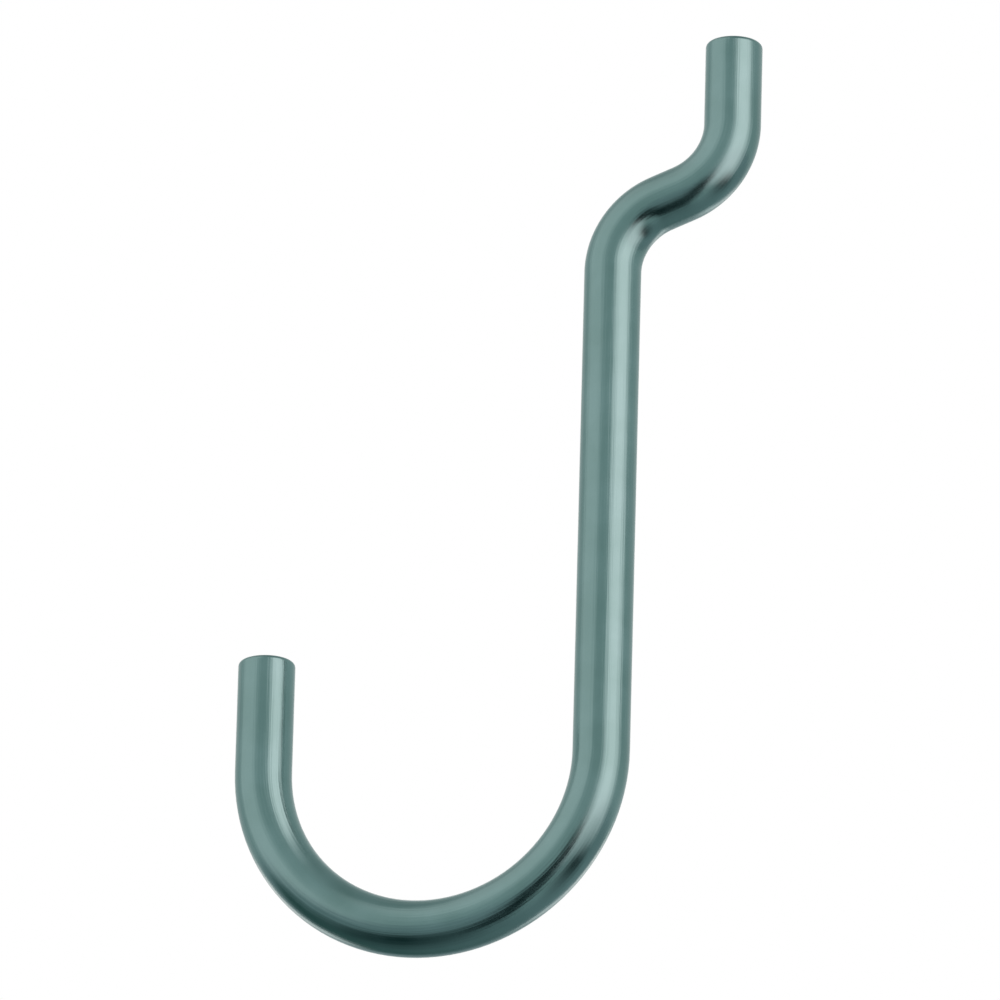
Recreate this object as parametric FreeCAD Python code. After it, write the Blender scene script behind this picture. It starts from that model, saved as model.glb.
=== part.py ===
import FreeCAD, Part
import math
import os

from FreeCAD import Vector

# Pegboard hook: one length of round steel wire, bent in the plane x = 0.
# Origin: centre of the board's hole, on the board's front face.
# +Z is up, +Y goes into the board and -Y comes out towards the user.

# Wire
wire_diameter = 5.7        # slips through a quarter-inch hole
end_round = 0.5            # rounded edge of the two cut ends

# Board that the hook hangs on
board_thickness = 6.0
board_clearance = 0.4      # play of the board between peg and shank

# Step through the board: two equal, opposite bends with a slanted run between them
bend_inside_radius = 4.6
run_length = 2.5

# Straight stretches
peg_length = 8.6           # behind the board, pointing up
shank_length = 50.4        # in front of the board, pointing down
tip_length = 11.6          # free end of the J, pointing up

# J that carries the load
cradle_width = 29.2        # inside, from shank to tip


# Radii of the wire's centre line
wire_radius = wire_diameter / 2
bend_radius = bend_inside_radius + wire_radius
cradle_radius = cradle_width / 2 + wire_radius

# The shank touches the board's front, and the peg clears its back
shank_y = -wire_radius
peg_y = board_thickness + board_clearance + wire_radius
cradle_y = shank_y - cradle_radius
tip_y = cradle_y - cradle_radius

# The bends turn just far enough to bring the peg back parallel to the shank:
# run * sin(turn) + 2 * radius * (1 - cos(turn)) = distance between the two axes
both_radii = 2 * bend_radius
lean = math.atan2(both_radii, run_length)
reach = math.hypot(both_radii, run_length)
bend_turn = lean + math.asin((peg_y - shank_y - both_radii) / reach)

# The middle of the slanted run lies at the height of the hole's centre
peg_foot = run_length / 2 * math.cos(bend_turn) + bend_radius * math.sin(bend_turn)
shank_head = -peg_foot
shank_foot = shank_head - shank_length
peg_end = peg_foot + peg_length
tip_end = shank_foot + tip_length


def at(y, z):
    return Vector(0, y, z)


def bend(centre, radius, start, turn):
    # Arc from the angle start, measured from +Y towards +Z
    angles = (start, start + turn / 2, start + turn)
    points = [centre + at(radius * math.cos(a), radius * math.sin(a)) for a in angles]
    return Part.Arc(*points)


def centre_line():
    # From the end of the peg, through the board and down the shank, to the tip of the J
    back_bend = bend(at(peg_y - bend_radius, peg_foot), bend_radius, 0, -bend_turn)
    front_bend = bend(at(shank_y + bend_radius, shank_head), bend_radius, math.pi - bend_turn, bend_turn)
    cradle = bend(at(cradle_y, shank_foot), cradle_radius, 0, -math.pi)
    stretches = [
        Part.LineSegment(at(peg_y, peg_end), at(peg_y, peg_foot)),
        back_bend,
        Part.LineSegment(back_bend.EndPoint, front_bend.StartPoint),
        front_bend,
        Part.LineSegment(at(shank_y, shank_head), at(shank_y, shank_foot)),
        cradle,
        Part.LineSegment(at(tip_y, shank_foot), at(tip_y, tip_end)),
    ]
    return Part.Wire([stretch.toShape() for stretch in stretches])


def wire_hook():
    path = centre_line()
    section = Part.Wire(Part.makeCircle(wire_radius, at(peg_y, peg_end), Vector(0, 0, 1)))
    rod = path.makePipeShell([section], True, False)
    cut_ends = [face for face in rod.Faces if isinstance(face.Surface, Part.Plane)]
    rims = [face.OuterWire.Edges[0] for face in cut_ends]
    print(f"wire cut to {path.Length:.1f} mm, bent {math.degrees(bend_turn):.1f} degrees at the board")
    return rod.makeFillet(end_round, rims).Solids[0]


os.makedirs("parts", exist_ok=True)
wire_hook().exportStep("parts/wire_hook.step")
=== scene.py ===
import math

import bmesh
import bpy
from mathutils import Matrix, Vector


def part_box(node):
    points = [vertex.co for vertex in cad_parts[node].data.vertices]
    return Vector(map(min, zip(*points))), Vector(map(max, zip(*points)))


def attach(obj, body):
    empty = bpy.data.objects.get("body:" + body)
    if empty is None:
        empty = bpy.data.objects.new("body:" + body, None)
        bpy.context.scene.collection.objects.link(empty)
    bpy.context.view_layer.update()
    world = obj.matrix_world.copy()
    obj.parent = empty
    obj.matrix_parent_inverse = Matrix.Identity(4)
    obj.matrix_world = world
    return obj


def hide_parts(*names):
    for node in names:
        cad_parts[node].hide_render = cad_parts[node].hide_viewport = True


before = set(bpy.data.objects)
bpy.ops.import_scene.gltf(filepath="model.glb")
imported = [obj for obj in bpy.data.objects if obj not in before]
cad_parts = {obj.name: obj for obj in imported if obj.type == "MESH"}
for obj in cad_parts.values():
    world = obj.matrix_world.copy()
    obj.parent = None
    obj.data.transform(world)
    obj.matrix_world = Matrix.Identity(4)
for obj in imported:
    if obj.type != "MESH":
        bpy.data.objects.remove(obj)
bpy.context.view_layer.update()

mm = 0.001
hair = 0.01 * mm         # nearer than this counts as the same place


def linearColour(hexCode):  # sRGB hex to linear red, green, blue, alpha
    channels = [int(hexCode[i:i + 2], 16) / 255 for i in (1, 3, 5)]
    return [c / 12.92 if c <= 0.04045 else ((c + 0.055) / 1.055) ** 2.4 for c in channels] + [1.0]


def addNode(tree, kind, settings=None, inputs=None):  # an input is a value, or (node, output) to link
    node = tree.nodes.new(kind)
    for name, value in (settings or {}).items():
        setattr(node, name, value)
    for name, value in (inputs or {}).items():
        if isinstance(value, tuple) and isinstance(value[0], bpy.types.Node):
            tree.links.new(value[0].outputs[value[1]], node.inputs[name])
        else:
            node.inputs[name].default_value = value
    return node


def newMaterial(name):
    material = bpy.data.materials.new(name)
    material.use_nodes = True
    material.node_tree.nodes.clear()
    return material


# the wire, bent in the plane x = 0, from the peg's end to the tip of the J
wire = {
    "bendInside": 4.6 * mm,     # both bends at the board
    "run": 2.5 * mm,            # slanted stretch between them
    "tip": 11.6 * mm,
    "around": 64,               # points round the wire
    "straightStep": 1.5 * mm,   # longest step between two rings
    "bendStep": math.radians(3),
}


def wireRoute():  # each stretch of the centre line is a length and the turn that it makes
    low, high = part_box("wire_hook")
    radius = high.x
    pegY, shankY, tipY = high.y - radius, -radius, low.y + radius
    bendRadius = wire["bendInside"] + radius
    cradleRadius = (shankY - tipY) / 2
    lean = math.atan2(2 * bendRadius, wire["run"])
    reach = math.hypot(2 * bendRadius, wire["run"])
    turn = lean + math.asin((pegY - shankY - 2 * bendRadius) / reach)
    pegFoot = wire["run"] / 2 * math.cos(turn) + bendRadius * math.sin(turn)
    shankFoot = low.z + radius + cradleRadius
    return {
        "radius": radius,
        "pegEnd": Vector((0, pegY, high.z)),
        "tipEnd": Vector((0, tipY, shankFoot + wire["tip"])),
        "stretches": [
            (high.z - pegFoot, 0),
            (bendRadius * turn, -turn),
            (wire["run"], 0),
            (bendRadius * turn, turn),
            (-pegFoot - shankFoot, 0),
            (cradleRadius * math.pi, -math.pi),
            (wire["tip"], 0),
        ],
    }


def tagRing(piece, along):  # keeps how far along the straight wire the newest ring was
    mesh = bmesh.from_edit_mesh(piece.data)
    layer = mesh.verts.layers.float_vector["drawn"]
    for vert in mesh.verts:
        if vert.select:
            vert[layer].z = along


def bendWire(route):
    start = route["pegEnd"]
    bpy.ops.object.select_all(action="DESELECT")
    bpy.ops.mesh.primitive_circle_add(vertices=wire["around"], radius=route["radius"], location=start)
    piece = bpy.context.object
    piece.name = "bentWire"
    bpy.ops.object.transform_apply()
    # each point's place on the straight wire, before bending
    drawn = piece.data.attributes.new("drawn", "FLOAT_VECTOR", "POINT")
    for vert in piece.data.vertices:
        drawn.data[vert.index].vector = (vert.co.x, vert.co.y - start.y, 0)
    bpy.ops.object.mode_set(mode="EDIT")
    bpy.ops.mesh.select_all(action="SELECT")
    centre, heading, along = start.copy(), -math.pi / 2, 0.0
    for length, turn in route["stretches"]:
        ahead = Vector((0, math.cos(heading), math.sin(heading)))
        if turn:
            steps = math.ceil(abs(turn) / wire["bendStep"])
            pivot = centre + Vector((0, -ahead.z, ahead.y)) * length / turn
        else:
            steps = math.ceil(length / wire["straightStep"])
        for _ in range(steps):
            if turn:
                bpy.ops.mesh.spin(steps=1, angle=-turn / steps, center=pivot, axis=(1, 0, 0))
            else:
                bpy.ops.mesh.extrude_region_move(TRANSFORM_OT_translate={"value": ahead * length / steps})
            along += length / steps
            tagRing(piece, along)
        if turn:
            centre = pivot + Matrix.Rotation(turn, 3, "X") @ (centre - pivot)
        else:
            centre = centre + ahead * length
        heading += turn
    print("wire bent:", round(along / mm, 1), "mm along")
    return piece


# both ends are sheared off: smooth where the blade went in, torn and a little lower on the board's side
cutEnd = {
    "round": 0.5 * mm,
    "roundSteps": 6,
    "rings": 16,                # insets across an end face
    "ringWidth": 0.14 * mm,
    "tornFrom": -0.5 * mm,      # from the middle towards the board
    "tornStep": 1.4 * mm,       # the smooth part goes over into the torn part across this width
    "tornWave": 0.3 * mm,       # and along a wavy line
    "tornWaveLength": 3.5 * mm,
    "tornRim": 0.28 * mm,       # the tear fades out across this width at the round
    "tornDepth": 0.15 * mm,
    "tornGrain": 1.0 * mm,
}


def pickCaps():  # the many-sided faces that close the ends
    bpy.ops.mesh.select_all(action="DESELECT")
    bpy.ops.mesh.select_face_by_sides(number=4, type="GREATER")


def cutEnds(piece, route):
    bpy.ops.mesh.select_all(action="SELECT")
    bpy.ops.mesh.fill_holes(sides=0)
    pickCaps()
    bpy.ops.mesh.region_to_loop()
    bpy.ops.mesh.bevel(offset=cutEnd["round"], segments=cutEnd["roundSteps"], affect="EDGES")
    pickCaps()
    for _ in range(cutEnd["rings"]):
        bpy.ops.mesh.inset(thickness=cutEnd["ringWidth"])
    bpy.ops.mesh.merge(type="COLLAPSE")
    bpy.ops.mesh.select_all(action="SELECT")
    bpy.ops.mesh.normals_make_consistent(inside=False)
    bpy.ops.object.mode_set(mode="OBJECT")
    tearEnds(piece, route)
    tagEnds(piece, route)
    bpy.ops.object.shade_smooth()
    print("ends cut:", len(piece.data.polygons), "faces in all")


def tearEnds(piece, route):
    torn = piece.vertex_groups.new(name="torn")
    flat = route["radius"] - cutEnd["round"]
    for vert in piece.data.vertices:
        for end in (route["pegEnd"], route["tipEnd"]):
            offset = vert.co - end
            if abs(offset.z) < hair and offset.xy.length < flat - hair:
                wave = cutEnd["tornWave"] * math.sin(2 * math.pi * offset.x / cutEnd["tornWaveLength"])
                past = (offset.y - cutEnd["tornFrom"] - wave) / cutEnd["tornStep"]
                rim = (flat - offset.xy.length) / cutEnd["tornRim"]
                torn.add([vert.index], max(0.0, min(past, rim, 1.0)), "REPLACE")
    grain = bpy.data.textures.new("tornGrain", "CLOUDS")
    grain.noise_scale = cutEnd["tornGrain"]
    tear = piece.modifiers.new("tear", "DISPLACE")
    tear.texture = grain
    tear.vertex_group = torn.name
    tear.mid_level = 1.0        # only sinks
    tear.strength = cutEnd["tornDepth"]
    bpy.ops.object.modifier_apply(modifier=tear.name)


def tagEnds(piece, route):  # the ends' new points get their places on the straight wire too
    drawn = piece.data.attributes["drawn"].data
    along = sum(length for length, turn in route["stretches"])
    reach, depth = route["radius"] + hair, cutEnd["round"] + hair
    for vert in piece.data.vertices:
        fromPeg, fromTip = vert.co - route["pegEnd"], vert.co - route["tipEnd"]
        if fromPeg.xy.length < reach and fromPeg.z > -depth:
            drawn[vert.index].vector = (fromPeg.x, fromPeg.y, -fromPeg.z)
        elif fromTip.xy.length < reach and 0 < fromTip.z + depth < route["radius"]:
            drawn[vert.index].vector = (fromTip.x, -fromTip.y, along + fromTip.z)


# cold drawn steel wire with a bright zinc plate: long die lines and a slight peel
# under a cool, cloudy skin, duller and scored across where the ends are sheared
zincPlate = {
    "colour": "#6a8886",
    "cloudColour": "#718f8e",
    "cloud": 5 * mm,
    "cloudDetail": 4.0,
    "cloudFrom": 0.35,          # the noise goes from plate to cloud between these two
    "cloudTo": 0.65,
    "roughness": 0.17,
    "cloudRoughness": 0.24,
    "dieLine": 0.22 * mm,       # real ones are finer; drawn as coarse as the render shows
    "dieLineLength": 25 * mm,
    "dieLineDepth": 0.025 * mm,
    "peel": 0.9 * mm,
    "peelDetail": 1.0,
    "peelDepth": 0.003 * mm,
    "cutRoughness": 0.36,
    "score": 0.10 * mm,
    "scoreLength": 2.5 * mm,
    "lineDetail": 3.0,          # die lines and scores
    "lineRoughness": 0.6,
}


def zincPlateMaterial(route):
    material = newMaterial("zincPlatedSteel")
    tree = material.node_tree
    drawn = addNode(tree, "ShaderNodeAttribute", {"attribute_name": "drawn"})
    section = addNode(tree, "ShaderNodeMapping", inputs={"Vector": (drawn, "Vector"), "Scale": (1, 1, 0)})
    fromAxis = addNode(tree, "ShaderNodeVectorMath", {"operation": "LENGTH"}, {
        "Vector": (section, "Vector")})
    flat = route["radius"] - cutEnd["round"]
    onCut = addNode(tree, "ShaderNodeMapRange", inputs={
        "Value": (fromAxis, "Value"), "From Min": flat, "From Max": flat - cutEnd["ringWidth"]})
    clouds = addNode(tree, "ShaderNodeTexNoise", inputs={
        "Vector": (drawn, "Vector"), "Scale": 1 / zincPlate["cloud"], "Detail": zincPlate["cloudDetail"]})
    cloudy = addNode(tree, "ShaderNodeMapRange", inputs={
        "Value": (clouds, "Fac"), "From Min": zincPlate["cloudFrom"], "From Max": zincPlate["cloudTo"]})
    colour = addNode(tree, "ShaderNodeMix", {"data_type": "RGBA"}, {
        "Factor": (cloudy, "Result"), "A": linearColour(zincPlate["colour"]),
        "B": linearColour(zincPlate["cloudColour"])})
    plateRoughness = addNode(tree, "ShaderNodeMapRange", inputs={
        "Value": (cloudy, "Result"),
        "To Min": zincPlate["roughness"], "To Max": zincPlate["cloudRoughness"]})
    roughness = addNode(tree, "ShaderNodeMix", inputs={
        "Factor": (onCut, "Result"), "A": (plateRoughness, "Result"), "B": zincPlate["cutRoughness"]})
    lineNoise = {"Scale": 1.0, "Detail": zincPlate["lineDetail"], "Roughness": zincPlate["lineRoughness"]}
    fine, longways = 1 / zincPlate["dieLine"], 1 / zincPlate["dieLineLength"]
    alongWire = addNode(tree, "ShaderNodeMapping", inputs={
        "Vector": (drawn, "Vector"), "Scale": (fine, fine, longways)})
    dieLines = addNode(tree, "ShaderNodeTexNoise", inputs={"Vector": (alongWire, "Vector"), **lineNoise})
    acrossCut = addNode(tree, "ShaderNodeMapping", inputs={
        "Vector": (drawn, "Vector"), "Scale": (1 / zincPlate["score"], 1 / zincPlate["scoreLength"], 0)})
    scores = addNode(tree, "ShaderNodeTexNoise", inputs={"Vector": (acrossCut, "Vector"), **lineNoise})
    lines = addNode(tree, "ShaderNodeMix", inputs={
        "Factor": (onCut, "Result"), "A": (dieLines, "Fac"), "B": (scores, "Fac")})
    peel = addNode(tree, "ShaderNodeTexNoise", inputs={
        "Vector": (drawn, "Vector"), "Scale": 1 / zincPlate["peel"], "Detail": zincPlate["peelDetail"]})
    peelBump = addNode(tree, "ShaderNodeBump", inputs={
        "Height": (peel, "Fac"), "Distance": zincPlate["peelDepth"], "Strength": 1.0})
    lineBump = addNode(tree, "ShaderNodeBump", inputs={
        "Height": (lines, "Result"), "Distance": zincPlate["dieLineDepth"], "Strength": 1.0,
        "Normal": (peelBump, "Normal")})
    shader = addNode(tree, "ShaderNodeBsdfPrincipled", inputs={
        "Base Color": (colour, "Result"), "Metallic": 1.0,
        "Roughness": (roughness, "Result"), "Normal": (lineBump, "Normal")})
    addNode(tree, "ShaderNodeOutputMaterial", inputs={"Surface": (shader, "BSDF")})
    return material


route = wireRoute()
bentWire = bendWire(route)
cutEnds(bentWire, route)
bentWire.data.materials.append(zincPlateMaterial(route))
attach(bentWire, "root")
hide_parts("wire_hook")

# long lens, from the board's side and a little below, turned round the hook's upright axis
view = {
    "azimuth": math.radians(106.511),
    "elevation": math.radians(-19.61),
    "roll": math.radians(1.527),
    "distance": 1.6,
    "target": Vector((0, -13.974 * mm, -30.725 * mm)),
    "pixelSize": mm / 10.0374,  # at the hook
    "pixels": 1000,
    "farthest": 100,            # metres
}


def turnTowards(azimuth, elevation, roll=0.0):
    upright = Matrix.Rotation(azimuth, 3, "Z") @ Matrix.Rotation(math.pi / 2 - elevation, 3, "X")
    return upright @ Matrix.Rotation(roll, 3, "Z")


def setCamera():
    lens = bpy.data.cameras.new("camera")
    lens.lens = lens.sensor_width * view["distance"] / (view["pixels"] * view["pixelSize"])
    lens.clip_end = view["farthest"]
    camera = bpy.data.objects.new("camera", lens)
    turned = turnTowards(view["azimuth"], view["elevation"], view["roll"])
    place = view["target"] + turned @ Vector((0, 0, view["distance"]))
    camera.matrix_world = Matrix.Translation(place) @ turned.to_4x4()
    bpy.context.scene.collection.objects.link(camera)
    bpy.context.scene.camera = camera
    print("camera: lens", round(lens.lens), "mm")


# softboxes, placed in degrees right of the camera and up from level, seen from the hook;
# lean tips one, and layers of growing size give it a soft edge
softboxes = {
    "keyBox": {"right": 44.5, "up": 21, "lean": 0, "distance": 0.225, "width": 0.245, "height": 0.37,
               "layers": 6, "grow": 0.045, "colour": "#ffdcdc", "radiance": 1.93},
    "fillBox": {"right": -71, "up": 28, "lean": 28, "distance": 1.0, "width": 1.24, "height": 1.76,
                "layers": 2, "grow": 0.40, "colour": "#ffe2e1", "radiance": 0.58},
    "rearRightBox": {"right": 150, "up": -15, "lean": -15, "distance": 0.7, "width": 0.15, "height": 0.40,
                     "layers": 3, "grow": 0.06, "colour": "#ffe2e1", "radiance": 1.4},
    "rearLeftBox": {"right": -152, "up": -15, "lean": -15, "distance": 0.7, "width": 0.15, "height": 0.40,
                    "layers": 3, "grow": 0.06, "colour": "#ffe2e1", "radiance": 1.4},
}
layerGap = 0.005         # metres from one layer to the next


def placeRound(right, up, lean, distance):  # round the hook, and facing it where lean equals up
    azimuth = view["azimuth"] + math.radians(right)
    place = view["target"] + turnTowards(azimuth, math.radians(up)) @ Vector((0, 0, distance))
    return Matrix.Translation(place) @ turnTowards(azimuth, math.radians(lean)).to_4x4()


def addSoftbox(name, box):
    for layer in range(box["layers"]):
        extra = box["grow"] * (layer - (box["layers"] - 1) / 2)
        lamp = bpy.data.lights.new(name, "AREA")
        lamp.shape = "RECTANGLE"
        lamp.size, lamp.size_y = box["width"] + extra, box["height"] + extra
        lamp.energy = box["radiance"] / box["layers"] * math.pi * lamp.size * lamp.size_y
        lamp.color = linearColour(box["colour"])[:3]
        holder = bpy.data.objects.new(name, lamp)
        away = box["distance"] + layer * layerGap
        holder.matrix_world = placeRound(box["right"], box["up"], box["lean"], away)
        holder.visible_camera = False
        bpy.context.scene.collection.objects.link(holder)


# the room, the floor far below and the sheet behind the hook are pale
room = {
    "air": "#d8e1e0",
    "ceiling": "#bac5c4",
    "ceilingFrom": 0.55,        # share of the way up at which the air begins to darken
    "floor": "#fffafa",
    "floorRoughness": 0.9,
    "floorDrop": 2.9,           # metres, as are the sizes below
    "floorSize": 60.0,
    "backdrop": "#ffffff",
    "backdropSize": 1.6,
    "backdropDistance": 3.0,
}

# two glowing cards that only the metal sees, so their colours are painted reflections: a dim one under
# it, with pools of painted shade and painted light, and a small dark one below the lens, a painted dark
# reflection
shadeCard = {
    "colour": "#b9c4c7",
    "size": 12.0,
    "drop": 0.62,
    "pools": [              # placed from the hook; long and wide are half sizes
        {"colour": "#4f736f", "right": -1.26, "near": -0.55, "long": 2.50, "wide": 1.24, "turn": 11},
        {"colour": "#274445", "right": -0.38, "near": 0.22, "long": 0.79, "wide": 0.79, "turn": 0},
        {"colour": "#d6e2e1", "right": 0.37, "near": 0.64, "long": 0.66, "wide": 0.44, "turn": 65},
        {"colour": "#1c3234", "right": 0.83, "near": 0.34, "long": 0.85, "wide": 0.52, "turn": -68},
        {"colour": "#5f7f7d", "right": -0.20, "near": -0.75, "long": 0.90, "wide": 0.60, "turn": 0},
    ],
}
# a painted dark reflection below the lens: a dark glowing card that only the metal sees
lensReflectionCard = {
    "colour": "#1f3537",
    "right": 6,
    "up": -38,
    "distance": 0.25,
    "width": 0.105,
    "height": 0.30,
}


def addSheet(name, width, height, place, material):
    bpy.ops.object.select_all(action="DESELECT")
    bpy.ops.mesh.primitive_plane_add(size=1)
    sheet = bpy.context.object
    sheet.name = name
    sheet.scale = (width, height, 1)
    bpy.ops.object.transform_apply(location=False, rotation=False)
    sheet.matrix_world = place
    sheet.data.materials.append(material)
    return sheet


def showToMetalOnly(sheet):
    sheet.visible_camera = False
    sheet.visible_diffuse = False
    sheet.visible_transmission = False
    sheet.visible_shadow = False


def floorMaterial():
    material = newMaterial("paleFloor")
    shader = addNode(material.node_tree, "ShaderNodeBsdfPrincipled", inputs={
        "Base Color": linearColour(room["floor"]), "Roughness": room["floorRoughness"],
        "Specular IOR Level": 0.0})
    addNode(material.node_tree, "ShaderNodeOutputMaterial", inputs={"Surface": (shader, "BSDF")})
    return material


def glowMaterial(name, colour):
    material = newMaterial(name)
    glow = addNode(material.node_tree, "ShaderNodeEmission", inputs={"Color": linearColour(colour)})
    addNode(material.node_tree, "ShaderNodeOutputMaterial", inputs={"Surface": (glow, "Emission")})
    return material


# the card glows with painted reflections: dark pools of painted shade and one pale pool of painted light
def shadeCardMaterial():
    material = newMaterial("shadeCard")
    tree = material.node_tree
    coordinates = addNode(tree, "ShaderNodeTexCoord")
    colour = linearColour(shadeCard["colour"])
    for pool in shadeCard["pools"]:
        spread = addNode(tree, "ShaderNodeMapping", {"vector_type": "TEXTURE"}, {
            "Vector": (coordinates, "Object"), "Location": (pool["right"], -pool["near"], 0),
            "Rotation": (0, 0, -math.radians(pool["turn"])), "Scale": (pool["long"], pool["wide"], 1)})
        outwards = addNode(tree, "ShaderNodeVectorMath", {"operation": "LENGTH"}, {
            "Vector": (spread, "Vector")})
        depth = addNode(tree, "ShaderNodeMapRange", {"interpolation_type": "SMOOTHSTEP"}, {
            "Value": (outwards, "Value"), "From Min": 1.0, "From Max": 0.0})
        pooled = addNode(tree, "ShaderNodeMix", {"data_type": "RGBA"}, {
            "Factor": (depth, "Result"), "A": colour, "B": linearColour(pool["colour"])})
        colour = (pooled, "Result")
    glow = addNode(tree, "ShaderNodeEmission", inputs={"Color": colour})
    addNode(tree, "ShaderNodeOutputMaterial", inputs={"Surface": (glow, "Emission")})
    return material


def setRoom():
    world = bpy.data.worlds.new("studioRoom")
    world.use_nodes = True
    tree = world.node_tree
    tree.nodes.clear()
    coordinates = addNode(tree, "ShaderNodeTexCoord")
    direction = addNode(tree, "ShaderNodeSeparateXYZ", inputs={"Vector": (coordinates, "Generated")})
    height = addNode(tree, "ShaderNodeMapRange", {"interpolation_type": "SMOOTHSTEP"}, {
        "Value": (direction, "Z"), "From Min": room["ceilingFrom"], "From Max": 1.0})
    colour = addNode(tree, "ShaderNodeMix", {"data_type": "RGBA"}, {
        "Factor": (height, "Result"), "A": linearColour(room["air"]), "B": linearColour(room["ceiling"])})
    air = addNode(tree, "ShaderNodeBackground", inputs={"Color": (colour, "Result")})
    addNode(tree, "ShaderNodeOutputWorld", inputs={"Surface": (air, "Background")})
    bpy.context.scene.world = world
    floorPlace = Matrix.Translation(view["target"] - Vector((0, 0, room["floorDrop"])))
    addSheet("floor", room["floorSize"], room["floorSize"], floorPlace, floorMaterial())
    behind = math.degrees(view["elevation"])
    backdropPlace = placeRound(0, behind, behind, -room["backdropDistance"])
    addSheet("backdrop", room["backdropSize"], room["backdropSize"], backdropPlace,
             glowMaterial("whiteBackdrop", room["backdrop"]))


def setCards():
    # sheets that glow painted shade and painted reflections, seen by the metal only
    under = Matrix.Translation(view["target"] - Vector((0, 0, shadeCard["drop"])))
    shadePlace = under @ Matrix.Rotation(view["azimuth"], 4, "Z")
    size = shadeCard["size"]
    showToMetalOnly(addSheet("shadeCard", size, size, shadePlace, shadeCardMaterial()))
    lensPlace = placeRound(lensReflectionCard["right"], lensReflectionCard["up"], lensReflectionCard["up"], lensReflectionCard["distance"])
    showToMetalOnly(addSheet("lensReflectionCard", lensReflectionCard["width"], lensReflectionCard["height"], lensPlace,
                             glowMaterial("lensReflectionCard", lensReflectionCard["colour"])))


setCamera()
setRoom()
setCards()
for name, box in softboxes.items():
    addSoftbox(name, box)
print("studio:", len(softboxes), "softboxes")
bpy.context.scene.view_settings.view_transform = "Standard"
